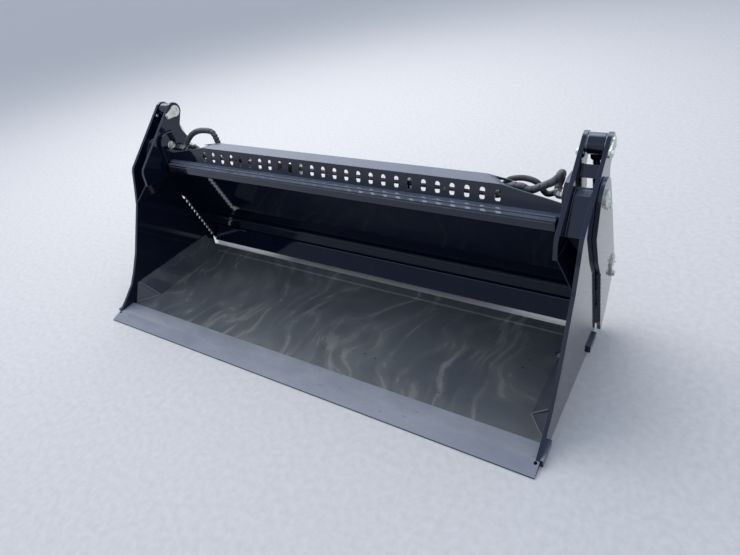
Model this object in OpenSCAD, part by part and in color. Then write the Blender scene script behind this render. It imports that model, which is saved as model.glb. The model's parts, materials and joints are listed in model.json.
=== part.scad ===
// Four-in-one bucket for a skid steer: a moldboard body that bolts to the machine and a clam,
// with floor and cutting edge, that swings open about a hinge high on both ends.
// X runs along the cutting edge, Y to the rear, towards the machine, and Z up.
// The origin is on the floor plane, straight below the hinge and midway along the bucket.

/* [Overall] */
// Width over the clam's side plates
clam_width = 1828.8; // [1500:0.1:2200]
// Height of the hinge above the floor
hinge_height = 590; // [560:1:620]
// Distance from the hinge forward to the cutting edge's nose
front_reach = 517; // [490:1:560]

/* [Clam floor] */
// Depth of the cutting edge bar
edge_depth = 108; // [90:1:120]
// Thickness of the cutting edge bar
edge_thick = 20; // [16:1:24]
// Height of the blunt nose under the bevel
edge_nose = 5; // [3:1:8]
// Depth of the bevel on the cutting edge
bevel_depth = 46; // [30:1:60]
// Radius of the small hole at each end of the cutting edge
edge_hole_r = 5; // [3:0.5:6]
// Distance of that hole from the end of the cutting edge
edge_hole_side = 10; // [8:0.5:14]
// Distance of that hole from the nose
edge_hole_back = 39; // [30:1:40]
// Thickness of the floor sheet
floor_thick = 12; // [8:1:14]
// Distance from the hinge back to the rear edge of the heel bar
heel_reach = 104; // [98:1:106]
// Depth of the heel bar
heel_depth = 38; // [30:1:50]
// Thickness of the heel bar
heel_thick = 20; // [18:1:22]

/* [Clam sides] */
// Thickness of the outer side plates
side_thick = 12; // [10:1:14]
// Thickness of the inner arm plates
arm_thick = 12; // [10:1:14]
// Clear space between an arm plate and its side plate
arm_gap = 52; // [50:1:60]
// Thickness of the plates folded or welded between the arms
web_thick = 6; // [4:1:8]
// Width of the sloped corner plates where floor meets side
corner_width = 64; // [50:1:70]
// Height of the sloped corner plates on the side
corner_height = 80; // [70:1:90]
// Distance from the cutting edge back to the foot of the sloped corner plates
corner_set = 99; // [90:1:110]
// Radius of the drain hole at the foot of the right corner plate
drain_r = 23; // [16:1:26]
// Distance of that hole from the right side plate
drain_in = 53; // [48:1:60]
// Distance of that hole ahead of the hinge
drain_ahead = 31; // [10:1:60]
// Length of the lugs on the outside of the side plates
lug_length = 80; // [60:1:85]
// Thickness of those lugs
lug_thick = 9; // [6:1:12]
// Height of those lugs
lug_height = 26; // [20:1:30]
// Depth of the gripping teeth
tooth_depth = 9; // [6:0.5:11]
// Gap between the two toothed edges with the clam as good as shut
tooth_gap = 13; // [12:0.5:15]

/* [Moldboard] */
// Thickness of the curved moldboard sheet
board_thick = 8; // [6:1:10]
// Thickness of the bar along the lip
lip_depth = 22; // [18:1:26]
// Height of the bar along the lip
lip_height = 25; // [20:1:30]
// Length down the face of the dozer edge
dozer_length = 70; // [64:1:72]
// Thickness of the dozer edge
dozer_thick = 14; // [12:1:16]
// Distance of the lip's ends from the ear plates
lip_inset = 12; // [8:1:20]
// Thickness of the inboard ear plates
ear_thick = 12; // [10:1:14]
// Gap between an ear plate and the arm plate, filled by a washer
ear_gap = 4; // [3:0.5:6]
// Thickness of the end plates
end_thick = 12; // [10:1:14]
// Gap between a side plate and the end plate outside it
end_gap = 1; // [1:0.5:2]

/* [Top guard] */
// Thickness of the guard plate
guard_thick = 4; // [3:0.5:5]
// Length of the sloping part at each end of the guard
guard_slope = 177; // [150:1:200]
// Distance between slots
slot_pitch = 50; // [46:1:50]
// Width of a slot
slot_width = 18; // [12:1:24]
// Height of a slot
slot_height = 40; // [30:1:44]
// Radius of the three small holes between the slots
guard_hole_r = 5; // [3:0.5:6]

/* [Hinge and cylinders] */
// Radius of the hinge, top and base pins
pin_r = 16; // [12:0.5:17]
// Running clearance round a pin, on the radius
pin_clear = 0.05; // [0.02:0.01:0.09]
// Height of the cylinder's top pin above the hinge
top_pin_up = 116; // [110:1:122]
// Distance of the top pin behind the hinge
top_pin_back = 84; // [80:1:88]
// Height of the cylinder's base pin
base_pin_height = 252; // [245:1:260]
// Distance of the base pin behind the hinge
base_pin_back = 208; // [204:1:212]
// Radius of the arm end round the top pin
arm_boss_r = 34; // [30:1:36]
// Outer radius of a cylinder barrel
barrel_r = 30; // [28:1:31]
// Wall of a cylinder barrel
barrel_wall = 5; // [4:0.5:6]
// Distance from the base pin to the gland end of the barrel
barrel_reach = 250; // [235:1:255]
// Depth of the gland
gland_depth = 24; // [18:1:30]
// Radius of the cylinder rod
rod_r = 14; // [12:0.5:15]
// Clearance round the rod in the gland, which takes up the swing of the cylinder
gland_clear = 8; // [7.5:0.5:9]
// Length of the rod below the top pin
rod_length = 300; // [285:1:305]
// Radius of the rod eye
eye_r = 30; // [26:1:31]
// Radius of the barrel's base eye
base_eye_r = 26; // [24:1:27]
// Thickness of the spacer rings beside the rod eye
ring_thick = 4; // [3:0.5:6]

/* [Machine mount] */
// Width of the mounting plate
mount_width = 1140; // [1100:1:1160]
// Thickness of the mounting plate
mount_thick = 10; // [8:1:12]
// Distance from the hinge back to the foot of the mounting plate
mount_back = 268; // [262:1:276]
// Depth of the mounting plate's shelf below the hinge
mount_drop = 518; // [510:1:530]
// Length of the leaning mounting plate from shelf to hook
mount_height = 353; // [340:1:360]
// Distance between the two wedge slots
wedge_spacing = 900; // [860:1:920]
// Length of a wedge slot along the plate
wedge_slot_length = 64; // [50:1:70]
// Width of a wedge slot
wedge_slot_width = 32; // [26:1:36]
// Depth of the shelf that holds the wedge slots
shelf_depth = 56; // [50:1:64]
// Reach of the hook along the top of the mounting plate
hook_reach = 42; // [36:1:44]

/* [Hydraulics] */
// Radius of the steel lines behind the guard
line_r = 8; // [6:0.5:9]
// Radius of the hoses
hose_r = 9; // [7:0.5:10]
// Radius of the hoses with a spiral wrap
wrapped_r = 11.5; // [9:0.5:12]
// Radius of the port threads in the valve block
port_r = 10; // [8:0.5:11]
// Length of the port block
block_length = 130; // [110:1:140]
// Distance of the port block's middle to the left of the bucket's middle
block_aside = 222; // [200:1:240]

/* [Hidden] */
$fn = 48;
square_turn = 90;

paint = [0.05, 0.05, 0.06];
dusty = [0.33, 0.34, 0.33];
steel = [0.45, 0.48, 0.52];
zinc = [0.72, 0.74, 0.68];
chrome = [0.8, 0.8, 0.82];
rubber = [0.08, 0.08, 0.08];

half_clam = clam_width / 2;
side_in = half_clam - side_thick;
arm_out = side_in - arm_gap;
arm_in = arm_out - arm_thick;
ear_out = arm_in - ear_gap;
ear_in = ear_out - ear_thick;
end_in = half_clam + end_gap;
end_out = end_in + end_thick;
mount_low = hinge_height - mount_drop;
bay_middle = (arm_out + side_in) / 2;

hinge = [0, hinge_height];
top_pin = [top_pin_back, hinge_height + top_pin_up];
base_pin = [base_pin_back, base_pin_height];
stroke_line = top_pin - base_pin;
cylinder_length = norm(stroke_line);
cylinder_tilt = -atan2(stroke_line[0], stroke_line[1]);
eye_width = arm_gap - 2 * ring_thick - 1;
base_eye_width = arm_gap - ring_thick;
pivot_boss_r = 50;
ear_r = 56;
tube_wall = 6;

// Outlines in the side view, as shares of the hinge height: first to the rear, then up
clam_front_shares = [[-0.735, 0.085], [-0.645, 0.16], [-0.585, 0.24], [-0.51, 0.36], [-0.35, 0.675],
    [-0.305, 0.81]];
arm_top_shares = [[-0.28, 0.895], [-0.265, 0.925], [0.105, 1.24]];
arm_back_shares = [[0.19, 1.165], [0.165, 1.12], [0.15, 1.09], [0.155, 1.05], [0.195, 0.965],
    [0.185, 0.935], [0.12, 0.935], [0.06, 0.93]];
clam_back_shares = [[-0.045, 0.87], [-0.015, 0.745], [0.012, 0.63], [0.03, 0.57]];
arm_foot_shares = [[-0.08, 0.895], [-0.105, 0.805], [-0.285, 0.805]];
tooth_top_share = [0.04, 0.525];
tooth_low_share = [0.185, 0.09];
side_tip_share = -0.8;
side_heel_share = 0.18;
teeth = 12;
cover_shares = [[-0.19, 0.88], [-0.075, 1.035], [-0.03, 1.04]];
spacer_shares = [[0.02, 1.08], [0.053, 1.133]];
web_shares = [[-0.285, 0.805], [-0.34, 0.69], [-0.1, 0.69], [-0.1, 0.805]];
board_shares = [[-0.095, 0.88], [-0.04, 0.88], [0.155, 0.675], [0.32, 0.225], [0.3, 0.135],
    [0.23, 0.065]];
guard_shares = [[0.005, 1.0], [0.06, 1.015], [0.065, 0.995]];
guard_foot_shares = [-0.06, -0.022];
guard_end_share = 0.945;
ear_top_shares = [[-0.076, 0.85], [-0.08, 0.99], [-0.077, 1.03], [-0.066, 1.057], [-0.042, 1.077],
    [-0.01, 1.086], [0.07, 1.082], [0.13, 1.02], [0.2, 0.88], [0.44, 0.46],
    [0.43, 0.39], [0.38, 0.35], [0.29, 0.34]];
end_front_shares = [[-0.115, 0.84], [-0.02, 0.65]];
end_back_shares = [[0.23, 0.05], [0.245, 0.012], [0.265, 0.012], [0.34, 0.105], [0.395, 0.215],
    [0.435, 0.31], [0.435, 0.385], [0.415, 0.43], [0.325, 0.595], [0.215, 0.81], [0.13, 0.965],
    [0.08, 1.05]];
rib_places_share = [-0.9, -0.34, 0.34, 0.9];

// A list of side view shares as points
function spread(shares) = [for (s = shares) s * hinge_height];

// The same line moved sideways by a distance, to the left of its way
function way(a, b) = (b - a) / norm(b - a);
function left_of(d) = [-d[1], d[0]];
function corner_shift(d, e) = (left_of(d) + left_of(e)) / (1 + d * e);
function moved_line(p, t) = [for (i = [0:len(p) - 1])
    let (before = way(p[max(i - 1, 0)], p[max(i, 1)]),
        after = way(p[min(i, len(p) - 2)], p[min(i + 1, len(p) - 1)]))
    p[i] + t * corner_shift(before, after)];
function turned_round(p) = [for (i = [len(p) - 1:-1:0]) p[i]];
function band(p, t) = concat(p, turned_round(moved_line(p, t)));

// A zigzag from a to b whose tips stand off to the left by a depth
function zigzag(a, b, count, depth) = concat([for (i = [0:count - 1]) each
    [a + (b - a) * i / count, a + (b - a) * (i + 0.5) / count + left_of(way(a, b)) * depth]], [b]);

clam_teeth_a = tooth_top_share * hinge_height;
clam_teeth_b = tooth_low_share * hinge_height;
tooth_step = left_of(way(clam_teeth_a, clam_teeth_b)) * tooth_gap;
clam_teeth = zigzag(clam_teeth_a, clam_teeth_b, teeth, tooth_depth);
end_teeth = [for (p = clam_teeth) p + tooth_step];
board_line = spread(board_shares);
board_fold = board_line[1];
board_core = moved_line(board_line, board_thick / 2);

// Draws a side view shape as a plate that starts at x
module plate(x, thick) {
    translate([x, 0, 0])
        rotate([square_turn, 0, square_turn])
            linear_extrude(thick)
                children();
}

// The same on both ends, or on the left end where side is -1
module on_side(side) {
    if (side > 0) children();
    else mirror([1, 0, 0]) children();
}

module both_sides() {
    children();
    mirror([1, 0, 0]) children();
}

// A round bar or hole along X at a side view place
module along_x(place, r, x, length) {
    translate([x, place[0], place[1]])
        rotate([0, square_turn, 0])
            cylinder(h = length, r = r);
}

// A flat face given by its corners, made thick by a shift
module slab(corners, shift) {
    n = len(corners);
    facing = cross(corners[1] - corners[0], corners[2] - corners[0]) * shift;
    ring = facing > 0 ? corners : turned_round(corners);
    points = concat(ring, [for (c = ring) c + shift]);
    faces = concat([[for (i = [0:n - 1]) i]], [[for (i = [n - 1:-1:0]) n + i]],
        [for (i = [0:n - 1]) [i, n + i, n + (i + 1) % n, (i + 1) % n]]);
    polyhedron(points, faces);
}

// A round hose through a list of places, skinned with flat rings
function between(p, i, t) =
    let (n = len(p), a = p[max(i - 1, 0)], b = p[i], c = p[i + 1], d = p[min(i + 2, n - 1)])
    0.5 * (2 * b + (c - a) * t + (2 * a - 5 * b + 4 * c - d) * t * t
        + (3 * b - a - 3 * c + d) * t * t * t);
function smooth(p, steps) = concat([for (i = [0:len(p) - 2], k = [0:steps - 1])
    between(p, i, k / steps)], [p[len(p) - 1]]);
function heading(p, i) =
    let (last = len(p) - 1, square = i == 0 || i == last,
        d = square ? [sign(p[last][0] - p[0][0]), 0, 0] : p[i + 1] - p[i - 1])
    d / norm(d);
hose_sides = 10;
module hose(places, r, steps) {
    line = smooth(places, steps);
    skin = [for (i = [0:len(line) - 1])
        let (d = heading(line, i), u0 = cross(d, [0.1, 1, 0.15]), u = u0 / norm(u0), v = cross(d, u))
        for (k = [0:hose_sides - 1])
            line[i] + r * (u * cos(360 * k / hose_sides) + v * sin(360 * k / hose_sides))];
    last = len(line) - 1;
    faces = concat([[for (k = [hose_sides - 1:-1:0]) k]],
        [[for (k = [0:hose_sides - 1]) last * hose_sides + k]],
        [for (i = [0:last - 1], k = [0:hose_sides - 1]) each
            let (a = i * hose_sides + k, b = i * hose_sides + (k + 1) % hose_sides)
            [[a, b, b + hose_sides], [a, b + hose_sides, a + hose_sides]]]);
    polyhedron(skin, faces);
}

// Clam

module cutting_edge() color(steel) difference() {
    plate(-half_clam, clam_width)
        polygon([[-front_reach, 0], [-front_reach, edge_nose],
            [-front_reach + bevel_depth, edge_thick], [-front_reach + edge_depth, edge_thick],
            [-front_reach + edge_depth, 0]]);
    both_sides()
        translate([half_clam - edge_hole_side, -front_reach + edge_hole_back, -edge_thick])
            cylinder(h = 3 * edge_thick, r = edge_hole_r);
}

floor_front = -front_reach + edge_depth;
floor_back = heel_reach - heel_depth;

module clam_floor() color(dusty) difference() {
    translate([-side_in, floor_front, 0])
        cube([2 * side_in, floor_back - floor_front, floor_thick]);
    drain();
}

// One hole goes down through the foot of the right corner plate and the floor
module drain()
    translate([side_in - drain_in, -drain_ahead, -floor_thick])
        cylinder(h = 2 * corner_height, r = drain_r);

module heel_bar() color(dusty)
    translate([-side_in, floor_back, 0])
        cube([2 * side_in, heel_depth, heel_thick]);

arm_head = concat(spread(arm_top_shares), spread(arm_back_shares));

// A clam plate with its round boss at the top pin and at the hinge
module arm_sheet(x, thick, outline) difference() {
    union() {
        plate(x, thick) polygon(outline);
        along_x(top_pin, arm_boss_r, x, thick);
        along_x(hinge, pivot_boss_r, x, thick);
    }
    for (place = [top_pin, hinge])
        along_x(place, pin_r + pin_clear, x - thick, 3 * thick);
    along_x(top_bolt, bolt_r + pin_clear, x - thick, 3 * thick);
}

module side_plate(side) color(paint) on_side(side)
    arm_sheet(side_in, side_thick, concat([[side_tip_share * hinge_height, edge_thick]],
        spread(clam_front_shares), arm_head, spread(clam_back_shares), clam_teeth,
        [[side_heel_share * hinge_height, 0], [floor_front, 0], [floor_front, edge_thick]]));

module arm_plate(side) color(paint) on_side(side)
    arm_sheet(arm_in, arm_thick, concat(arm_head, spread(arm_foot_shares)));

module arm_cover(side) color(paint) on_side(side)
    plate(arm_out, arm_gap) polygon(band(spread(cover_shares), -web_thick));

module arm_spacer(side) color(paint) on_side(side)
    plate(arm_out, arm_gap) polygon(band(spread(spacer_shares), -web_thick));

// The web slopes outwards from the foot of the arm plate to the side plate
module arm_web(side) color(paint) on_side(side) {
    foot = spread(web_shares);
    slab([[arm_out, foot[0][0], foot[0][1]], [side_in, foot[1][0], foot[1][1]],
        [side_in, foot[2][0], foot[2][1]], [arm_out, foot[3][0], foot[3][1]]], [0, 0, web_thick]);
}

module hinge_tube(side) color(paint) on_side(side) difference() {
    along_x(hinge, pin_r + tube_wall, arm_out, arm_gap);
    along_x(hinge, pin_r + pin_clear, arm_out - arm_gap, 3 * arm_gap);
}

corner_foot = floor_front + corner_set;
corner_side = floor_front + 0.65 * corner_set;
corner_tip = floor_front + 0.2 * corner_set;
corner_foot_x = side_in - corner_width;
corner_top = floor_thick + corner_height;

module corner_plate(side) color(dusty) difference() {
    on_side(side)
        slab([[corner_foot_x, corner_foot, floor_thick],
            [side_in - web_thick, corner_side, corner_top],
            [side_in - web_thick, floor_back, corner_top],
            [corner_foot_x, floor_back, floor_thick]], [web_thick, 0, 0]);
    drain();
}

module corner_cap(side) color(dusty) on_side(side)
    slab([[corner_foot_x, corner_foot, floor_thick],
        [side_in, corner_side, corner_top],
        [side_in, corner_tip, floor_thick]], [0, -web_thick, 0]);

module wear_lugs() color(paint) both_sides()
    for (start = [-front_reach + bevel_depth, heel_reach - lug_length])
        translate([half_clam, start, 0])
            cube([lug_thick, lug_length, lug_height]);

flag_thick = 6;
flag_r = 23;
flag_tip_r = 12;
hinge_flag = 46;
base_flag = 48;
top_flag = 42;
bolt_r = 6;
bolt_head_r = 10;
bolt_head_thick = 7;
pin_end = 4;

top_tip = way([0, 0], [-1, -0.2]);
hinge_tip = way([0, 0], [0.6, -0.8]);
base_tip = way([0, 0], [0.05, -1]);
top_bolt = top_pin + top_tip * top_flag;
hinge_bolt = hinge + hinge_tip * hinge_flag;
base_bolt = base_pin + base_tip * base_flag;

function turned(d, angle) =
    [d[0] * cos(angle) - d[1] * sin(angle), d[0] * sin(angle) + d[1] * cos(angle)];

// A pin with a drop-shaped keeper flag on its end, reaching to a bolt hole
flag_cheek = 0.96;

module flag_pin(place, x, length, tip, reach) {
    end = place + tip * reach;
    cheek = left_of(tip) * flag_cheek;
    difference() {
        union() {
            along_x(place, pin_r, x, length);
            along_x(place, flag_r, x + length, flag_thick);
            along_x(end, flag_tip_r, x + length, flag_thick);
            plate(x + length, flag_thick)
                polygon([place + cheek * flag_r, place - cheek * flag_r,
                    end - cheek * flag_tip_r, end + cheek * flag_tip_r]);
        }
        along_x(end, bolt_r + pin_clear, x + length - flag_thick, 3 * flag_thick);
    }
}

// A keeper bolt whose shank ends at x and whose head faces away from it
module keeper_bolt(place, x, length) {
    along_x(place, bolt_r, x, length);
    translate([x + length, place[0], place[1]])
        rotate([0, square_turn, 0])
            cylinder(h = bolt_head_thick, r = bolt_head_r, $fn = 6);
}

// Both top pins are driven in from the right, so both flags face the same way
top_pin_length = arm_gap + arm_thick + side_thick;
module top_pin_part(x) color(zinc)
    flag_pin(top_pin, x - pin_end, top_pin_length + pin_end, top_tip, top_flag);
module top_pin_l() top_pin_part(-half_clam);
module top_pin_r() top_pin_part(arm_in);

module top_keeper_bolts() color(zinc) {
    keeper_bolt(top_bolt, side_in, side_thick + flag_thick);
    keeper_bolt(top_bolt, -arm_out, arm_thick + flag_thick);
    mirror([1, 0, 0])
        keeper_bolt(top_bolt, -arm_out, arm_thick);
}

module spacer_rings() color(steel) both_sides()
    for (x = [arm_out, side_in - ring_thick])
        difference() {
            along_x(top_pin, eye_r - ring_thick, x, ring_thick);
            along_x(top_pin, pin_r + pin_clear, x - ring_thick, 3 * ring_thick);
        }

// Moldboard

module moldboard() color(paint) difference() {
    plate(-end_in, 2 * end_in) polygon(band(board_line, board_thick));
    both_sides()
        translate([ear_in - lip_inset, -hinge_height, notch_height])
            cube([end_in, 2 * hinge_height, 3 * board_thick]);
}

dozer_way = way(board_line[4], board_line[5]);
dozer_front = -left_of(dozer_way) * dozer_thick;
dozer_start = board_line[4] + dozer_way * dozer_thick / 3;

module dozer_edge() color(paint)
    plate(-side_in + side_thick / 3, 2 * side_in - 2 * side_thick / 3)
        polygon([dozer_start, dozer_start + dozer_front,
            dozer_start + dozer_front + dozer_way * dozer_length,
            dozer_start + dozer_way * dozer_length]);

module lip_bar() color(paint)
    translate([lip_inset - ear_in, board_line[0][0], board_line[0][1] - lip_height])
        cube([2 * (ear_in - lip_inset), lip_depth, lip_height]);

guard_foot = board_fold[1] + board_thick;
guard_line = concat([for (s = guard_foot_shares) [s * hinge_height, guard_foot]],
    spread(guard_shares));
guard_full_half = ear_in - guard_slope;
slot_pairs = floor(guard_full_half / slot_pitch + 0.5);
guard_holes = [-9 * slot_pitch, 0, 9 * slot_pitch];
slot_middle = (guard_line[1] + guard_line[2]) / 2;
slot_lean = atan2(guard_line[1][0] - guard_line[2][0], guard_line[2][1] - guard_line[1][1]);

module guard_slot(x) {
    translate([x, slot_middle[0], slot_middle[1]])
        rotate([slot_lean, 0, 0])
            rotate([square_turn, 0, 0])
                translate([0, 0, -5 * guard_thick])
                    linear_extrude(10 * guard_thick)
                        union() {
                            square([slot_width, slot_height - slot_width], center = true);
                            for (s = [-1, 1])
                                translate([0, s * (slot_height - slot_width) / 2])
                                    circle(slot_width / 2);
                        }
}

module guard_hole(x) {
    translate([x, slot_middle[0], slot_middle[1]])
        rotate([slot_lean + square_turn, 0, 0])
            cylinder(h = 10 * guard_thick, r = guard_hole_r, center = true);
}

// Past its full height the guard slopes down to the ears and loses its top flange
module top_guard() color(paint) difference() {
    plate(-ear_in, 2 * ear_in) polygon(band(guard_line, guard_thick));
    both_sides()
        translate([guard_full_half, -hinge_height, hinge_height * guard_end_share])
            rotate([0, atan2(guard_line[2][1] - hinge_height * guard_end_share,
                ear_in - guard_full_half), 0])
                translate([-ear_in, 0, hinge_height * (1 - guard_end_share)])
                    cube([3 * ear_in, 2 * hinge_height, hinge_height]);
    for (i = [0:slot_pairs - 1], s = [-1, 1])
        guard_slot(s * (i + 0.5) * slot_pitch);
    for (x = guard_holes)
        guard_hole(x);
}

module board_cut() {
    polygon(band(board_line, board_thick));
}

notch_height = board_fold[1] - board_thick;

module ear_plate(side) color(paint) on_side(side) difference() {
    plate(ear_in, ear_thick)
        polygon(concat(spread(ear_top_shares), [board_core[3], board_core[2], board_core[1]]));
    difference() {
        plate(ear_in - ear_thick, 3 * ear_thick) board_cut();
        translate([0, -hinge_height, notch_height])
            cube([2 * ear_in, 2 * hinge_height, hinge_height]);
    }
    for (place = [hinge, base_pin])
        along_x(place, pin_r + pin_clear, ear_in - ear_thick, 3 * ear_thick);
    for (place = fittings)
        along_x(place, fitting_neck_r + pin_clear, ear_in - ear_thick, 3 * ear_thick);
}

module end_plate(side) color(paint) on_side(side) difference() {
    union() {
        plate(end_in, end_thick)
            polygon(concat([hinge - [ear_r, 0]], spread(end_front_shares), end_teeth,
                spread(end_back_shares), [hinge + [0, ear_r]]));
        along_x(hinge, ear_r, end_in, end_thick);
    }
    for (place = [hinge, base_pin])
        along_x(place, pin_r + pin_clear, end_in - end_thick, 3 * end_thick);
    for (place = [hinge_bolt, base_bolt])
        along_x(place, bolt_r + pin_clear, end_in - end_thick, 3 * end_thick);
}

stub_r = 12.5;
stub_length = 10;

// The hinge pin ends in a thinner stub on the inboard side
module hinge_pin(side) color(zinc) on_side(side) {
    flag_pin(hinge, ear_in, end_out - ear_in, hinge_tip, hinge_flag);
    along_x(hinge, stub_r, ear_in - stub_length, 2 * stub_length);
}

module thrust_washers() color(steel) both_sides() difference() {
    along_x(hinge, pin_r + 2 * tube_wall, ear_out, ear_gap - pin_clear);
    along_x(hinge, pin_r + pin_clear, ear_out - ear_gap, 3 * ear_gap);
}

module base_pin_part(side) color(zinc) on_side(side)
    flag_pin(base_pin, ear_in - pin_end, end_out - ear_in + pin_end, base_tip, base_flag);

module base_spacers() color(steel) both_sides()
    for (x = [[ear_out, bay_middle - base_eye_width / 2 - pin_clear],
            [bay_middle + base_eye_width / 2 + pin_clear, end_in]])
        difference() {
            along_x(base_pin, pin_r + tube_wall, x[0], x[1] - x[0]);
            along_x(base_pin, pin_r + pin_clear, x[0] - ear_gap, 3 * arm_gap);
        }

// Machine mount

mount_way = way(board_line[3], board_line[2]);
mount_out = -left_of(mount_way);
mount_foot = [mount_back, mount_low];
mount_head = mount_foot + mount_way * mount_height;
hook_way = turned(mount_way, -60);

module wedge_slots() {
    for (s = [-1, 1])
        translate([s * wedge_spacing / 2, mount_back + shelf_depth * 0.55, mount_low - mount_thick])
            linear_extrude(3 * mount_thick)
                union() {
                    square([wedge_slot_length - wedge_slot_width, wedge_slot_width],
                        center = true);
                    for (e = [-1, 1])
                        translate([e * (wedge_slot_length - wedge_slot_width) / 2, 0])
                            circle(wedge_slot_width / 2);
                }
}

// A leaning plate with a level shelf at its foot and a hook turned back along its top
module mount_plate() color(paint) difference() {
    plate(-mount_width / 2, mount_width)
        polygon(band([mount_foot + [shelf_depth, 0], mount_foot, mount_head,
            mount_head + hook_way * hook_reach], -mount_thick));
    wedge_slots();
}

rib_thick = 10;

// Ribs stand between the moldboard and the front of the leaning plate
module mount_ribs() color(paint)
    for (s = rib_places_share)
        difference() {
            plate(s * mount_width / 2 - rib_thick / 2, rib_thick)
                polygon([mount_foot, mount_head, board_core[2], board_core[3], board_core[4]]);
            plate(-mount_width, 2 * mount_width) board_cut();
            plate(-mount_width, 2 * mount_width)
                polygon(band([mount_foot + [shelf_depth, 0], mount_foot, mount_head,
                    mount_head + hook_way * hook_reach], -mount_thick));
        }

// Hydraulics

block_thread = 20;
block_front = 12;
block_depth = 68;
block_drop = 82;
block_low = hinge_height - block_drop;
block_height = 56;
port_up = 38;
port_spacing = 60;
line_a = [62, hinge_height - 67];
line_b = [30, hinge_height - 49];
line_a_end = ear_in - 252;
line_b_end = ear_in - 222;
clamp_places = [-9.5 * slot_pitch, 6 * slot_pitch];
clamp_width = 26;
clamp_wall = 12;
bracket_thick = 10;
fittings = [[34, hinge_height - 26], [76, hinge_height - 36]];
fitting_neck_r = 10;
fitting_r = 13;
fitting_length = 24;

module port_block() color(zinc) difference() {
    translate([-block_aside - block_length / 2, block_front, block_low])
        cube([block_length, block_depth, block_height]);
    for (s = [-1, 1])
        translate([s * port_spacing / 2 - block_aside, block_front + block_depth - block_thread,
            block_low + port_up])
            rotate([-square_turn, 0, 0])
                cylinder(h = 2 * block_thread, r = port_r);
    for (place = [line_a, line_b])
        along_x(place, line_r + pin_clear, -block_aside - block_length, 2 * block_length);
}

// Height of the moldboard sheet's middle where it slopes down behind the guard
function board_height(y) = board_core[1][1] + (y - board_core[1][0])
    * (board_core[2][1] - board_core[1][1]) / (board_core[2][0] - board_core[1][0]);

module standing_plate(x, width, front, back, top) {
    difference() {
        plate(x, width)
            polygon([[front, board_height(front)], [front, top], [back, top],
                [back, board_height(back)]]);
        plate(x - width, 3 * width) board_cut();
    }
}

module block_bracket() color(paint)
    standing_plate(-block_aside - block_length / 2, block_length, line_a[0] - bracket_thick,
        line_a[0], block_low);

module steel_lines() color(steel) {
    along_x(line_a, line_r, -line_a_end, 2 * line_a_end);
    along_x(line_b, line_r, -line_b_end, 2 * line_b_end);
}

module line_clamps() color(paint)
    for (x = clamp_places)
        difference() {
            standing_plate(x - clamp_width / 2, clamp_width, line_b[0] - line_r - clamp_wall,
                line_a[0] + line_r + clamp_wall, line_b[1] + line_r + clamp_wall);
            for (place = [line_a, line_b])
                along_x(place, line_r + pin_clear, x - clamp_width, 2 * clamp_width);
        }

// Bulkhead fittings pass through the ear plates with a nut face on each side
module ear_fittings() color(zinc) both_sides()
    for (place = fittings) {
        along_x(place, fitting_r, ear_in - fitting_length, fitting_length);
        along_x(place, fitting_neck_r, ear_in - pin_end, ear_thick + pin_end);
    }

touch = 0.3;

// Places along each hose: distance inboard of the ear plate, then to the rear, then up from the hinge
hose_end = fitting_length + touch;
function routed(side, places) =
    [for (q = places) [side * (ear_in - q[0]), q[1], hinge_height + q[2]]];

hose_l_places = [[222 - touch, 30, -49], [200, 30, -49], [150, 36, -50], [100, 58, -44],
    [62, 74, -37], [hose_end + 8, 76, -36], [hose_end, 76, -36]];
hose_r_places = [[252 - touch, 62, -67], [238, 62, -66], [214, 61, -44], [190, 60, -12],
    [153, 60, 0], [122, 61, -2], [99, 62, -12], [84, 63, -34], [70, 64, -46], [50, 71, -40],
    [hose_end + 8, 76, -36], [hose_end, 76, -36]];
wrapped_l_places = [[252 - touch, 62, -67], [238, 62, -60], [222, 62, -10], [214, 62, 28],
    [196, 64, 48], [128, 65, 46], [78, 62, 28], [50, 52, 2], [36, 40, -20],
    [hose_end + 6, 34, -26], [hose_end, 34, -26]];
wrapped_r_places = [[222 - touch, 30, -49], [206, 31, -46], [185, 34, -22], [146, 38, -16],
    [115, 38, -25], [86, 38, -11], [64, 40, 0], [42, 42, 15], [33, 52, 28], [33, 70, 26],
    [36, 80, 8], [40, 66, -14], [36, 44, -25], [hose_end + 6, 34, -26], [hose_end, 34, -26]];
hose_steps = 4;

module hose_l() color(rubber)
    hose(routed(-1, hose_l_places), hose_r, hose_steps);
module hose_r() color(rubber)
    hose(routed(1, hose_r_places), hose_r, hose_steps);
module wrapped_hose_l() color(rubber)
    hose(routed(-1, wrapped_l_places), wrapped_r, hose_steps);
module wrapped_hose_r() color(rubber)
    hose(routed(1, wrapped_r_places), wrapped_r, hose_steps);

// Cylinders

module in_line(side, start) {
    on_side(side)
        translate([bay_middle, start[0], start[1]])
            rotate([cylinder_tilt, 0, 0])
                children();
}

module barrel(side) color(paint) difference() {
    union() {
        in_line(side, base_pin) {
            translate([0, 0, base_eye_r * 0.9])
                cylinder(h = barrel_reach - gland_depth - base_eye_r * 0.9, r = barrel_r);
        }
        on_side(side)
            along_x(base_pin, base_eye_r, bay_middle - base_eye_width / 2, base_eye_width);
    }
    in_line(side, base_pin)
        translate([0, 0, base_eye_r + barrel_wall])
            cylinder(h = barrel_reach, r = barrel_r - barrel_wall);
    on_side(side)
        along_x(base_pin, pin_r + pin_clear, bay_middle - arm_gap, 2 * arm_gap);
}

module gland(side) color(paint) in_line(side, base_pin)
    translate([0, 0, barrel_reach - gland_depth])
        difference() {
            cylinder(h = gland_depth, r = barrel_r + 1);
            translate([0, 0, -gland_depth])
                cylinder(h = 3 * gland_depth, r = rod_r + gland_clear);
        }

rod_neck = eye_r + 14;
rod_neck_r = rod_r + 5;

module rod(side) color(chrome) in_line(side, top_pin)
    translate([0, 0, -rod_length])
        cylinder(h = rod_length - rod_neck, r = rod_r);

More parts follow.
